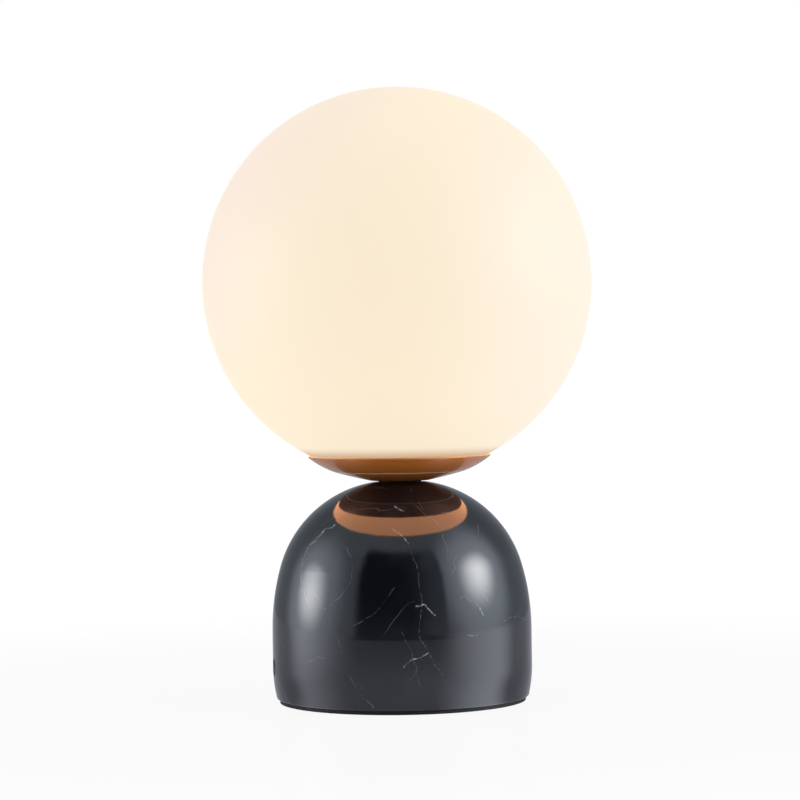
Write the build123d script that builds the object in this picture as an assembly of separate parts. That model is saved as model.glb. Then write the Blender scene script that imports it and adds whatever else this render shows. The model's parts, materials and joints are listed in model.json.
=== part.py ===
from build123d import *
import os
from math import acos, asin, cos, degrees, radians, sin, sqrt, tan

os.makedirs("parts", exist_ok=True)

# Glass globe table lamp, in millimetres. The origin is the centre of the pad's underside,
# +Z is up, and -Y is the front. All main pieces are turned about the Z axis.
# Heights (z) and radii (r) of a turned piece are given as points (r, z).

# ---- Clearances
seat_gap = 0.3          # between a piece that lifts off and what it sits on
thread_gap = 0.25       # radial, between threads, which are cut plain
slip_gap = 0.1          # between pieces that are pushed into each other
bond_gap = 0.05         # between a bonded piece and what it is bonded to

# ---- Marble base
wall_radius = 66.7
wall_height = 35.0      # height above the marble's underside where the wall starts to lean in
foot_height = 16.0      # the wall curves in below this height
foot_inset = 1.9
foot_round = 1.0
flank_radius = 119.0    # slow curve above the wall
flank_turn = 16.0       # degrees that the slow curve turns
shoulder_radius = 59.8  # faster curve that rounds into the top
crown_radius = 13.0     # flat on top
chamber_radius = 36.0   # wiring chamber, open below
chamber_height = 34.0
pad_thickness = 2.0
pad_inset = 1.2         # from the marble's underside edge to the pad's edge

# ---- Cover plate under the chamber
cover_overlap = 11.5    # beyond the chamber's wall
cover_thickness = 1.5
cover_screw_count = 3
cover_screw_radius = 1.9
cover_head_radius = 3.8
cover_plug_wall = 1.1
cover_plug_depth = 12.0

# ---- Cord outlet
outlet_direction = 190.0  # degrees from +X towards +Y
outlet_height = 19.0
cord_bore_radius = 3.2
bushing_wall = 1.1
bushing_flange = 1.9      # radial width and length of the inner flange
bushing_recess = 0.4      # mouth below the marble's surface
bushing_mouth_round = 0.8

# ---- Threaded tube and what is clamped on it
tube_radius = 5.0
tube_bore_radius = 3.7
tube_tail = 3.5         # tube standing out of the nut below
washer_hole_gap = 0.3   # radial, round the tube
cushion_radius = 16.0
cushion_thickness = 1.5
clamp_washer_radius = 18.0
clamp_washer_thickness = 2.0
lock_washer_width = 3.2
lock_washer_thickness = 1.0
lock_washer_slit = 1.5
nut_across_flats = 17.0
base_nut_height = 6.0
collar_nut_height = 3.5
neck_washer_radius = 11.0
neck_washer_thickness = 0.8

# ---- Cup: a spun metal saucer
cup_sheet = 1.0
cup_floor_radius = 15.5
cup_crease_inset = 3.0  # from the edge of the globe's mouth inwards to the crease
cup_crease_rise = 4.4   # above the cup's underside
cup_dish_radius = 260.0  # curve from the floor to the crease
cup_rim_reach = 10.8    # from the edge of the globe's mouth outwards to the rim
cup_height = 12.1       # underside to the rim's widest point
cup_band_radius = 45.0  # curve from the crease to the rim

# ---- Globe
globe_radius = 100.0
glass_wall = 3.0
mouth_radius = 36.0
mouth_round = 0.6
rim_to_glass = 1.2      # from the rim's inner edge to the glass, at rim height

# ---- Threaded seat between cup and globe
collar_sheet = 1.2
collar_floor_radius = 14.0
collar_height = 16.5    # above the cup's floor
collar_bend = 2.0
ring_mouth_gap = 0.65   # radial, from the ring to the edge of the glass
ring_wall = 2.2
ring_height = 10.0
ring_foot_width = 1.5
ring_foot_height = 1.0
seal_width = 3.0        # bead on the inside of the glass
gasket_inset = 1.7      # from the edge of the glass to the gasket's inner edge
gasket_width = 4.6

# ---- Lampholder, for a 27 mm screw cap
entry_radius = 9.0
entry_height = 5.0
holder_radius = 20.0
holder_cap_height = 20.0
holder_cap_wall = 1.6
sleeve_height = 40.0
sleeve_wall = 1.8
sleeve_lip = 3.2
sleeve_lip_height = 1.6
insert_floor_height = 6.0
insert_tube_height = 30.0
insert_wall = 1.9
socket_radius = 13.4    # inside of the screw shell
socket_sheet = 0.4
socket_height = 27.0
contact_height = 3.0    # top of the centre contact above the insert's floor
contact_sheet = 0.5
contact_width = 5.0
terminal_offset = 9.5   # from the axis
terminal_block = (5.4, 5.0, 5.0)
terminal_rivet_radius = 1.2
terminal_screw_radius = 1.4

# ---- Leads and wiring
lead_radius = 1.1
lead_spacing = 1.35     # from the tube's axis
lead_rise = 2.5         # straight above the tube's bush
bush_flange = 1.3
bush_wall = 0.35
bush_depth = 4.0
block_size = (16.0, 22.0, 12.0)
block_distance = 20.0   # from the axis, away from the outlet
pole_spacing = 5.5      # from the block's middle
pole_height = 6.5       # wire bore above the cover plate
clamp_size = (13.0, 5.2, 6.2)
clamp_bore_radius = 1.5
clamp_screw_radius = 1.2
clamp_screw_head = 1.9
clamp_screw_spacing = 4.0
fixing_screw_radius = 1.4
fixing_head_radius = 2.8
fixing_head_depth = 3.0

# ---- LED bulb with a 27 mm screw cap
bulb_radius = 30.0
bulb_length = 108.0
cap_radius = 13.15
cap_sheet = 0.35
cap_height = 23.0
cap_bend = 2.5
tip_height = 4.0        # insulator and contact below the screw cap
tip_radius = 9.0
tip_contact_radius = 4.8
tip_contact_height = 1.0
bulb_neck_radius = 13.9
bulb_neck_height = 3.5
bulb_plug_depth = 10.0
housing_wall = 1.8
housing_flare_height = 25.0
housing_rim_height = 3.0
housing_inset = 0.4     # housing rim inside the diffuser's radius
diffuser_wall = 1.2
led_board_thickness = 1.6
led_size = (3.0, 3.0, 0.7)
led_count = 12
led_circle_radius = 18.0
driver_board = (17.0, 1.6, 34.0)
driver_capacitor_radius = 4.0
driver_capacitor_length = 13.0
driver_coil = (9.0, 7.5, 9.0)


# ---- Helpers

def turned(*edges):
    """Solid turned about Z from the closed outline that the edges make."""
    return revolve(Plane.XZ * make_face(edges), Axis.Z)


def pipe(outer, inner, bottom, height):
    """Upright tube, washer or sleeve on the axis."""
    ring = Circle(outer) - Circle(inner)
    return extrude(Pos(0, 0, bottom) * ring, height)


def rod(radius, bottom, height):
    return extrude(Pos(0, 0, bottom) * Circle(radius), height)


def bowl_centre(start, end, radius):
    """Centre of the arc from start to end that is hollow upwards."""
    half_chord_r = (end[0] - start[0]) / 2
    half_chord_z = (end[1] - start[1]) / 2
    half_chord = sqrt(half_chord_r**2 + half_chord_z**2)
    rise = sqrt(radius**2 - half_chord**2) / half_chord
    return (
        (start[0] + end[0]) / 2 - half_chord_z * rise,
        (start[1] + end[1]) / 2 + half_chord_r * rise,
    )


def below(centre, radius, r):
    """Height at r of the lower half of a circle."""
    return centre[1] - sqrt(radius**2 - (r - centre[0]) ** 2)


def reach(centre, radius, height):
    """Radius at which a circle is at the given height, on its outer side."""
    return centre[0] + sqrt(radius**2 - (centre[1] - height) ** 2)


def crossing(centre_a, radius_a, centre_b, radius_b):
    """Point (r, z) where two circles cross, the one nearer the crease."""
    line_r, line_z = centre_b[0] - centre_a[0], centre_b[1] - centre_a[1]
    apart = sqrt(line_r**2 + line_z**2)
    along = (radius_a**2 - radius_b**2 + apart**2) / (2 * apart)
    aside = sqrt(radius_a**2 - along**2)
    foot = (centre_a[0] + line_r * along / apart, centre_a[1] + line_z * along / apart)
    step = (aside * line_z / apart, aside * line_r / apart)
    return min((foot[0] - step[0], foot[1] + step[1]), (foot[0] + step[0], foot[1] - step[1]),
               key=lambda point: abs(point[0] - cup_crease_radius))


def arc_along(height_at, r_start, r_end):
    """Arc on the circle that height_at gives the lower half of."""
    r_middle = (r_start + r_end) / 2
    return ThreePointArc(*((r, height_at(r)) for r in (r_start, r_middle, r_end)))


def hex_nut(across_flats, hole, bottom, height):
    """Hexagon nut with turned corners."""
    corner = across_flats / 2 / cos(radians(30))
    bevel = (corner - across_flats / 2) * tan(radians(30))
    blank = extrude(Pos(0, 0, bottom) * RegularPolygon(corner, 6), height)
    round_off = chamfer(rod(corner, bottom, height).edges().filter_by(GeomType.CIRCLE),
                        length=bevel, length2=corner - across_flats / 2)
    return (blank & round_off) - rod(hole, bottom, height)


def lock_washer(bottom):
    """Flat spring washer with a slit."""
    outer = tube_radius + washer_hole_gap + lock_washer_width
    ring = pipe(outer, tube_radius + washer_hole_gap, bottom, lock_washer_thickness)
    slit = Pos(outer / 2, 0, bottom + lock_washer_thickness / 2) * Box(
        outer, lock_washer_slit, lock_washer_thickness)
    return ring - Rot(0, 0, outlet_direction + 90) * slit


def slotted_screw(shank, tip, seat, head_radius, head_height):
    """Screw on the axis, from its tip up to its slotted head, which rests at seat."""
    screw = rod(shank, tip, seat - tip) + rod(head_radius, seat, head_height)
    slot_width = head_radius / 3
    slot = Pos(0, 0, seat + head_height * 0.75) * Box(
        2 * head_radius, slot_width, head_height / 2)
    return screw - slot


def bend_radii(points):
    """Largest arcs that the runs between the points allow."""
    radii = []
    for before, at, after in zip(points, points[1:], points[2:]):
        run_in, run_out = Vector(at) - Vector(before), Vector(after) - Vector(at)
        shorter = min(run_in.length, run_out.length)
        radii.append(0.45 * shorter / tan(radians(run_in.get_angle(run_out)) / 2))
    return radii


def save(node, shape):
    export_step(Compound(children=shape.solids()), f"parts/{node}.step")


to_outlet = Rot(0, 0, outlet_direction)  # turns +X towards the cord outlet

# ---- Marble base

flank_end_r = wall_radius - flank_radius * (1 - cos(radians(flank_turn)))
flank_end_z = wall_height + flank_radius * sin(radians(flank_turn))
shoulder_centre_r = flank_end_r - shoulder_radius * cos(radians(flank_turn))
shoulder_centre_z = flank_end_z - shoulder_radius * sin(radians(flank_turn))
crown_turn = degrees(acos((crown_radius - shoulder_centre_r) / shoulder_radius))
marble_height = shoulder_centre_z + shoulder_radius * sin(radians(crown_turn))

marble_bottom = pad_thickness
marble_top = marble_bottom + marble_height
foot_radius = wall_radius - foot_inset
chamber_top = marble_bottom + chamber_height
cover_radius = chamber_radius + cover_overlap
cover_top = marble_bottom + cover_thickness
cover_screw_circle = chamber_radius + cover_overlap * 0.6
plug_radius = cover_screw_radius + cover_plug_wall
tube_hole_radius = tube_radius + 0.5
bushing_radius = cord_bore_radius + bushing_wall


def cover_screw_places():
    first = outlet_direction + 180 / cover_screw_count
    return PolarLocations(cover_screw_circle, cover_screw_count, start_angle=first)


def outlet_pin(radius, start, end):
    """Cylinder along the outlet's axis, between two distances from the Z axis."""
    lying = Plane(origin=(start, 0, outlet_height), z_dir=(1, 0, 0))
    return to_outlet * extrude(lying * Circle(radius), end - start)


def marble_base():
    wall_start = (wall_radius, foot_height)
    foot = TangentArc(wall_start, (foot_radius, 0), tangent=(0, -1))
    wall = Line(wall_start, (wall_radius, wall_height))
    flank = JernArc(wall @ 1, (0, 1), flank_radius, flank_turn)
    shoulder = JernArc(flank @ 1, flank % 1, shoulder_radius, crown_turn - flank_turn)
    rest = Polyline(shoulder @ 1, (0, marble_height), (0, 0), (foot_radius, 0))
    marble = turned(foot, wall, flank, shoulder, rest)
    under_edge = marble.edges().group_by(Axis.Z)[0]
    marble = Pos(0, 0, marble_bottom) * fillet(under_edge, foot_round)
    marble -= rod(chamber_radius, marble_bottom, chamber_height)
    marble -= rod(cover_radius + slip_gap, marble_bottom, cover_thickness)
    marble -= rod(tube_hole_radius, marble_bottom, marble_height)
    marble -= outlet_pin(bushing_radius + slip_gap, chamber_radius / 2, wall_radius * 1.1)
    for place in cover_screw_places():
        marble -= place * rod(plug_radius + slip_gap, cover_top, cover_plug_depth)
    return marble


def base_pad():
    return rod(foot_radius - pad_inset, 0, pad_thickness)


def base_cover():
    plate = rod(cover_radius, marble_bottom, cover_thickness)
    head_cone = Cone(cover_head_radius + slip_gap, cover_screw_radius + slip_gap,
                     cover_thickness, align=(Align.CENTER, Align.CENTER, Align.MIN))
    for place in cover_screw_places():
        plate -= place * Pos(0, 0, marble_bottom) * head_cone
    fixing = to_outlet * Pos(-block_distance, 0, 0)
    return plate - fixing * rod(fixing_screw_radius + slip_gap, marble_bottom, cover_thickness)


def cover_screws():
    """Countersunk screws, their cross slots facing down."""
    tip = cover_top + cover_plug_depth * 0.8
    cone = Cone(cover_head_radius, cover_screw_radius, cover_thickness,
                align=(Align.CENTER, Align.CENTER, Align.MIN))
    slot = Box(cover_head_radius, cover_screw_radius / 3, cover_thickness)
    cross = slot + Rot(0, 0, 90) * slot
    screw = Pos(0, 0, marble_bottom) * (cone - cross)
    screw += rod(cover_screw_radius, cover_top, tip - cover_top)
    return Compound(children=[place * screw for place in cover_screw_places()])


def cover_plugs():
    """Nylon sleeves in the marble that the cover's screws bite into."""
    plug = pipe(plug_radius, cover_screw_radius + bond_gap, cover_top, cover_plug_depth)
    return Compound(children=[place * plug for place in cover_screw_places()])


# The wall is upright up to wall_height, so the bushing ends just below its surface.
bushing_end = wall_radius - bushing_recess
bushing_start = sqrt(chamber_radius**2 - (bushing_radius + bushing_flange) ** 2) - 2 * slip_gap


def cord_bushing():
    flange = outlet_pin(bushing_radius + bushing_flange, bushing_start - bushing_flange,
                        bushing_start)
    sleeve = flange + outlet_pin(bushing_radius, bushing_start, bushing_end)
    bore_start = bushing_start - 2 * bushing_flange
    bushing = sleeve - outlet_pin(cord_bore_radius, bore_start, wall_radius)
    mouth = bushing.edges().filter_by(GeomType.CIRCLE).sort_by(
        lambda edge: edge.radius + 1000 / edge.center().length)[0]
    return fillet(mouth, bushing_mouth_round)


# ---- Clamped stack on the threaded tube

tube_hole = tube_radius + washer_hole_gap
cushion_bottom = chamber_top - cushion_thickness
clamp_bottom = cushion_bottom - clamp_washer_thickness
base_lock_bottom = clamp_bottom - lock_washer_thickness
base_nut_bottom = base_lock_bottom - base_nut_height
tube_bottom = base_nut_bottom - tube_tail

cup_bottom = marble_top + neck_washer_thickness
cup_floor = cup_bottom + cup_sheet
cup_rim = cup_bottom + cup_height
collar_lock_bottom = cup_floor + collar_sheet
collar_nut_bottom = collar_lock_bottom + lock_washer_thickness
holder_bottom = collar_nut_bottom + collar_nut_height
entry_floor = holder_bottom + entry_height + holder_cap_wall
tube_top = entry_floor - bush_flange


def threaded_tube():
    return pipe(tube_radius, tube_bore_radius, tube_bottom, tube_top - tube_bottom)


def cushion_washer():
    return pipe(cushion_radius, tube_hole, cushion_bottom, cushion_thickness)


def clamp_washer():
    return pipe(clamp_washer_radius, tube_hole, clamp_bottom, clamp_washer_thickness)


def base_nut():
    return hex_nut(nut_across_flats, tube_radius + bond_gap, base_nut_bottom, base_nut_height)


def neck_washer():
    return pipe(neck_washer_radius, tube_hole, marble_top, neck_washer_thickness)


def collar_nut():
    return hex_nut(nut_across_flats, tube_radius + bond_gap, collar_nut_bottom,
                   collar_nut_height)


# ---- Cup

cup_crease_radius = mouth_radius - cup_crease_inset
cup_rim_radius = mouth_radius + cup_rim_reach
cup_floor_point = (cup_floor_radius, cup_bottom)
cup_crease_point = (cup_crease_radius, cup_bottom + cup_crease_rise)
cup_rim_point = (cup_rim_radius, cup_rim)
band_centre = bowl_centre(cup_crease_point, cup_rim_point, cup_band_radius)
dish_centre = bowl_centre(cup_floor_point, cup_crease_point, cup_dish_radius)


def band_outside(r):
    return below(band_centre, cup_band_radius, r)


def band_inside(r):
    return below(band_centre, cup_band_radius - cup_sheet, r)


def dish_outside(r):
    return below(dish_centre, cup_dish_radius, r)


def dish_inside(r):
    return below(dish_centre, cup_dish_radius - cup_sheet, r)


inner_floor_radius = reach(dish_centre, cup_dish_radius - cup_sheet, cup_floor)
inner_crease_radius = crossing(
    dish_centre, cup_dish_radius - cup_sheet, band_centre, cup_band_radius - cup_sheet)[0]
rim_inner_radius = reach(band_centre, cup_band_radius - cup_sheet, cup_rim)


def cup_inside(r):
    """Height of the cup's inside at r, in the dish or outside the crease."""
    return dish_inside(r) if r < inner_crease_radius else band_inside(r)


# The sheet ends in a full round, which is widest at cup_rim_radius.
rim_lean = asin((cup_rim_radius - cup_sheet / 2 - band_centre[0])
                / (cup_band_radius - cup_sheet / 2))


def cup():
    """Saucer with a creased underside and a fully rounded rim."""
    outer_end = band_centre[0] + cup_band_radius * sin(rim_lean)
    inner_end = band_centre[0] + (cup_band_radius - cup_sheet) * sin(rim_lean)
    rim_start = (outer_end, band_outside(outer_end))
    rim_tangent = (cos(rim_lean), sin(rim_lean))
    return turned(
        Line((tube_hole, cup_bottom), cup_floor_point),
        arc_along(dish_outside, cup_floor_radius, cup_crease_radius),
        arc_along(band_outside, cup_crease_radius, outer_end),
        JernArc(rim_start, rim_tangent, cup_sheet / 2, 180),
        arc_along(band_inside, inner_end, inner_crease_radius),
        arc_along(dish_inside, inner_crease_radius, inner_floor_radius),
        Polyline((inner_floor_radius, cup_floor), (tube_hole, cup_floor), (tube_hole, cup_bottom)))


# ---- Globe

glass_radius_at_rim = rim_inner_radius - rim_to_glass
globe_centre = cup_rim + sqrt(globe_radius**2 - glass_radius_at_rim**2)


def glass_outside(r):
    return below((0, globe_centre), globe_radius, r)


def glass_inside(r):
    return below((0, globe_centre), globe_radius - glass_wall, r)


def globe_glass():
    """Blown globe with a ground mouth."""
    ball = Sphere(globe_radius) - Sphere(globe_radius - glass_wall)
    ball = Pos(0, 0, globe_centre) * ball
    ball -= rod(mouth_radius, globe_centre - globe_radius, globe_radius)
    mouth_edges = ball.edges().filter_by(GeomType.CIRCLE).sort_by(Axis.Z)[:2]
    return fillet(mouth_edges, mouth_round)


# ---- Threaded seat between cup and globe

collar_top = cup_floor + collar_height
ring_radius = mouth_radius - ring_mouth_gap
ring_bore = ring_radius - ring_wall
collar_radius = ring_bore - thread_gap
ring_foot_radius = ring_radius + ring_foot_width
ring_bottom = cup_inside(ring_foot_radius) + seat_gap
ring_foot_top = ring_bottom + ring_foot_height
ring_top = ring_bottom + ring_height


def globe_collar():
    """Pressed steel dish, clamped on the cup's floor, with an upstand for the thread."""
    knee = (collar_radius, cup_inside(collar_radius) + seat_gap)
    outside = FilletPolyline((tube_hole, cup_floor), (collar_floor_radius, cup_floor), knee,
                             (collar_radius, collar_top), radius=collar_bend)
    wall = offset(outside, collar_sheet, side=Side.LEFT)
    return turned(*wall.edges())


def globe_ring():
    """Ring with the inner thread, bonded into the globe's mouth from below."""
    return turned(Polyline(
        (ring_bore, ring_bottom), (ring_foot_radius, ring_bottom),
        (ring_foot_radius, ring_foot_top), (ring_radius, ring_foot_top),
        (ring_radius, ring_top), (ring_bore, ring_top), close=True))


def globe_ring_seal():
    """Silicone round the mouth's edge, with a bead on the inside of the glass."""
    inner = ring_radius + bond_gap
    foot_level = ring_foot_top + bond_gap
    edge = mouth_radius - bond_gap
    bead_end = mouth_radius + seal_width

    def under_glass(r):
        return below((0, globe_centre), globe_radius + bond_gap, r)

    def over_glass(r):
        return below((0, globe_centre), globe_radius - glass_wall - bond_gap, r)

    bead_top = over_glass(mouth_radius) + seal_width
    return turned(
        Polyline((edge, under_glass(edge)), (edge, over_glass(edge))),
        arc_along(over_glass, edge, bead_end),
        Polyline((bead_end, over_glass(bead_end)), (inner, bead_top), (inner, foot_level),
                 (ring_foot_radius, foot_level), (ring_foot_radius, under_glass(ring_foot_radius))),
        arc_along(under_glass, ring_foot_radius, edge))


def cup_gasket():
    """Silicone ring that the glass rests on, lying against the inside of the cup."""
    def underside(r):
        return below(band_centre, cup_band_radius - cup_sheet - bond_gap, r)

    def topside(r):
        return below((0, globe_centre), globe_radius + seat_gap, r)

    inner = mouth_radius + gasket_inset
    outer = inner + gasket_width
    return turned(
        arc_along(underside, inner, outer), Line((outer, underside(outer)), (outer, topside(outer))),
        arc_along(topside, outer, inner), Line((inner, topside(inner)), (inner, underside(inner))))


# ---- Lampholder

holder_cap_top = holder_bottom + holder_cap_height
sleeve_top = holder_cap_top + sleeve_height
insert_bottom = holder_cap_top + slip_gap
insert_floor = insert_bottom + insert_floor_height
socket_outer = socket_radius + socket_sheet
insert_inner = socket_outer + slip_gap
insert_outer = insert_inner + insert_wall
contact_top = insert_floor + contact_height


def lampholder_cap():
    """Cup with the threaded entry below and a flared wall."""
    flare_start = (entry_radius, holder_bottom + entry_height)
    flare_end = (holder_radius, holder_cap_top - holder_cap_wall)
    outside = [
        Line((0, holder_bottom), (entry_radius, holder_bottom)),
        Line((entry_radius, holder_bottom), flare_start),
        TangentArc(flare_end, flare_start, tangent=(0, -1)),
        Polyline(flare_end, (holder_radius, holder_cap_top), (0, holder_cap_top),
                 (0, holder_bottom)),
    ]
    hollow_start = (entry_radius, entry_floor)
    hollow_end = (holder_radius - holder_cap_wall, holder_cap_top)
    hollow = [
        TangentArc(hollow_end, hollow_start, tangent=(0, -1)),
        Polyline(hollow_end, (0, holder_cap_top), (0, hollow_start[1]), hollow_start),
    ]
    return turned(*outside) - turned(*hollow) - rod(
        tube_radius + bond_gap, holder_bottom, entry_floor - holder_bottom)


def lampholder_sleeve():
    """Outer sleeve with a lip round the bulb's neck and grip flutes."""
    body = pipe(holder_radius, holder_radius - sleeve_wall, holder_cap_top, sleeve_height)
    lip_bottom = sleeve_top - sleeve_lip_height
    body += pipe(holder_radius - sleeve_wall / 2, holder_radius - sleeve_wall - sleeve_lip,
                 lip_bottom, sleeve_lip_height)
    rim = body.edges().filter_by(GeomType.CIRCLE).group_by(Axis.Z)[-1].sort_by(
        lambda edge: edge.radius)[-1]
    body = fillet(rim, sleeve_wall / 2)
    flute = rod(sleeve_wall / 2, holder_cap_top + sleeve_height * 0.12, sleeve_height * 0.3)
    for place in PolarLocations(holder_radius + sleeve_wall / 8, 24):
        body -= place * flute
    return body


def lampholder_insert():
    """Insulating carrier: a floor with two rivet holes and a tube round the screw shell."""
    carrier = rod(holder_radius - sleeve_wall - slip_gap, insert_bottom, insert_floor_height)
    carrier += pipe(insert_outer, insert_inner, insert_floor, insert_tube_height)
    for side in (-1, 1):
        carrier -= to_outlet * Pos(0, side * terminal_offset, 0) * rod(
            terminal_rivet_radius + bond_gap, insert_bottom, insert_floor_height)
    return carrier


def lampholder_screw_shell():
    """Brass shell with a floor that leaves the middle and the contact's strip free."""
    shell = pipe(socket_outer, socket_radius, insert_floor, socket_height)
    shell += pipe(socket_outer, terminal_offset - terminal_rivet_radius * 2, insert_floor,
                  socket_sheet)
    notch = Pos(0, -socket_radius, insert_floor) * Box(
        contact_width * 1.6, 2 * (socket_radius - socket_sheet), 4 * socket_sheet)
    notch -= Pos(0, -2 * socket_radius, insert_floor) * Box(
        contact_width * 2, 2 * socket_radius, 8 * socket_sheet)
    inner_notch = notch & rod(socket_radius, insert_floor - socket_sheet, 4 * socket_sheet)
    return shell - to_outlet * inner_notch


def lampholder_centre_contact():
    """Sprung strip, fixed at the live terminal and standing up in the middle."""
    foot_end = -terminal_offset - terminal_rivet_radius * 1.5
    bend = 2 * contact_sheet
    middle = contact_width / 2
    spine = FilletPolyline(
        (foot_end, insert_floor + contact_sheet), (-terminal_offset / 2, insert_floor + contact_sheet),
        (-middle, contact_top), (middle, contact_top), radius=bend)
    strip = Plane.YZ * make_face(offset(spine, contact_sheet, side=Side.RIGHT).edges())
    return to_outlet * extrude(strip, contact_width / 2, both=True)


def lampholder_terminals():
    """Brass terminals under the insert, each with a rivet up through its floor."""
    long, wide, tall = terminal_block
    pieces = []
    for side in (-1, 1):
        block = Box(long, wide, tall, align=(Align.CENTER, Align.CENTER, Align.MAX))
        block -= Pos(0, 0, -tall) * Cylinder(
            lead_radius + slip_gap, tall, align=(Align.CENTER, Align.CENTER, Align.MIN))
        block += Pos(0, 0, -tall / 4) * Box(
            long, wide, tall / 4, align=(Align.CENTER, Align.CENTER, Align.MIN))
        screw_hole = Plane(origin=(0, 0, -tall / 2 - tall / 8), z_dir=(0, 1, 0)) * Circle(
            terminal_screw_radius + bond_gap)
        block -= extrude(screw_hole, wide)
        block += rod(terminal_rivet_radius, 0, insert_floor - insert_bottom)
        turn = Rot(0, 0, 0 if side > 0 else 180)
        pieces.append(to_outlet * Pos(0, side * terminal_offset, insert_bottom) * turn * block)
    return Compound(children=pieces)


def lampholder_terminal_screws():
    """Screws that press the leads, pointing at the axis."""
    wide, tall = terminal_block[1:]
    screw = slotted_screw(terminal_screw_radius, lead_radius + slip_gap, wide / 2,
                          terminal_screw_radius * 1.5, terminal_screw_radius)
    lying = Rot(-90, 0, 0) * screw
    level = insert_bottom - tall / 2 - tall / 8
    pieces = []
    for side in (-1, 1):
        turn = Rot(0, 0, 0 if side > 0 else 180)
        pieces.append(to_outlet * Pos(0, side * terminal_offset, level) * turn * lying)
    return Compound(children=pieces)


# ---- Wiring

pole_level = cover_top + pole_height
block_place = to_outlet * Pos(-block_distance, 0, cover_top)


def terminal_housing():
    """Two-pole block, open at both ends of each pole and above each screw."""
    deep, wide, tall = block_size
    block = Box(deep, wide, tall, align=(Align.CENTER, Align.CENTER, Align.MIN))
    block = fillet(block.edges().filter_by(Axis.Z), 1)
    for side in (-1, 1):
        pole = Pos(0, side * pole_spacing, pole_height)
        block -= pole * Box(deep, clamp_size[1] + 2 * slip_gap, clamp_size[2] + 2 * slip_gap)
        for end in (-1, 1):
            block -= pole * Pos(end * clamp_screw_spacing, 0, 0) * rod(
                clamp_screw_head + slip_gap, 0, tall)
    block -= rod(fixing_screw_radius + slip_gap, 0, tall)
    block -= rod(fixing_head_radius + slip_gap, tall - fixing_head_depth, tall)
    return block_place * block


def terminal_clamps():
    """Brass clamps with a wire bore and two screw holes each."""
    pieces = []
    for side in (-1, 1):
        clamp = Box(*clamp_size)
        clamp -= Rot(0, 90, 0) * Cylinder(clamp_bore_radius, clamp_size[0])
        for end in (-1, 1):
            clamp -= Pos(end * clamp_screw_spacing, 0, 0) * rod(
                clamp_screw_radius + bond_gap, 0, clamp_size[2])
        pieces.append(block_place * Pos(0, side * pole_spacing, pole_height) * clamp)
    return Compound(children=pieces)


def terminal_screws():
    screw = slotted_screw(clamp_screw_radius, lead_radius + bond_gap, clamp_size[2] / 2 + 0.5,
                          clamp_screw_head, clamp_screw_head)
    pieces = []
    for side in (-1, 1):
        for end in (-1, 1):
            place = Pos(end * clamp_screw_spacing, side * pole_spacing, pole_height)
            pieces.append(block_place * place * screw)
    return Compound(children=pieces)


def terminal_fixing_screw():
    seat = block_size[2] - fixing_head_depth
    return block_place * slotted_screw(fixing_screw_radius, -cover_thickness, seat,
                                       fixing_head_radius, fixing_head_depth * 0.7)


def lead(side):
    """Insulated lead from the terminal block, up the tube, to the lampholder's terminal."""
    terminal_level = insert_bottom - terminal_block[2]
    points = [
        (-block_distance - clamp_size[0] / 4, side * pole_spacing, pole_level),
        (-block_distance + block_size[0] * 0.75, side * pole_spacing, pole_level),
        (0, side * lead_spacing, tube_bottom - bush_depth),
        (0, side * lead_spacing, entry_floor + lead_rise),
        (0, side * terminal_offset, terminal_level - 2 * lead_radius),
        (0, side * terminal_offset, terminal_level + terminal_block[2] * 0.7),
    ]
    radii = bend_radii(points)
    print("lead bends", [round(radius, 1) for radius in radii])
    path = FilletPolyline(*points, radius=radii)
    section = Plane(origin=path @ 0, z_dir=path % 0) * Circle(lead_radius)
    return to_outlet * sweep(section, path=path)


def tube_bushes():
    """Nylon bushes that keep the leads off the tube's cut ends."""
    outer = tube_bore_radius - bond_gap
    bush = pipe(outer, outer - bush_wall, 0, bush_depth)
    bush += pipe(tube_radius, outer - bush_wall, -bush_flange, bush_flange)
    lower = Pos(0, 0, tube_bottom) * bush
    upper = Pos(0, 0, tube_top) * Rot(180, 0, 0) * bush
    return Compound(children=[lower, upper])


# ---- LED bulb

bulb_tip = contact_top + seat_gap
cap_bottom = bulb_tip + tip_height
cap_top = cap_bottom + cap_height
neck_top = cap_top + bulb_neck_height
housing_radius = bulb_radius - housing_inset
flare_top = neck_top + housing_flare_height
housing_top = flare_top + housing_rim_height
bulb_top = bulb_tip + bulb_length
dome_start = bulb_top - bulb_radius


def bulb_screw_cap():
    """Screw shell, closed in below towards the insulator."""
    outside = FilletPolyline((tip_radius, cap_bottom), (cap_radius, cap_bottom),
                             (cap_radius, cap_top), radius=cap_bend)
    return turned(*offset(outside, cap_sheet, side=Side.LEFT).edges())


def bulb_cap_insulator():
    """Dark cone between the screw shell and the centre contact."""
    level = bulb_tip + tip_contact_height
    return turned(Polyline((0, level), (tip_contact_radius, level),
                           (tip_radius - slip_gap, cap_bottom),
                           (tip_radius - slip_gap, cap_bottom + tip_contact_height),
                           (0, cap_bottom + tip_contact_height), close=True))


def bulb_centre_contact():
    disc = rod(tip_contact_radius, bulb_tip, tip_contact_height)
    under = disc.edges().group_by(Axis.Z)[0]
    return fillet(under, tip_contact_height * 0.6)


def flare(radius_below, radius_above, level):
    """S-curve of two equal arcs, upright at both ends."""
    outward = radius_above - radius_below
    turn = 2 * degrees(acos(housing_flare_height / sqrt(outward**2 + housing_flare_height**2)))
    radius = housing_flare_height / 2 / sin(radians(turn))
    first = JernArc((radius_below, level), (0, 1), radius, -turn)
    second = JernArc(first @ 1, first % 1, radius, turn)
    return [first, second]


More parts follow.
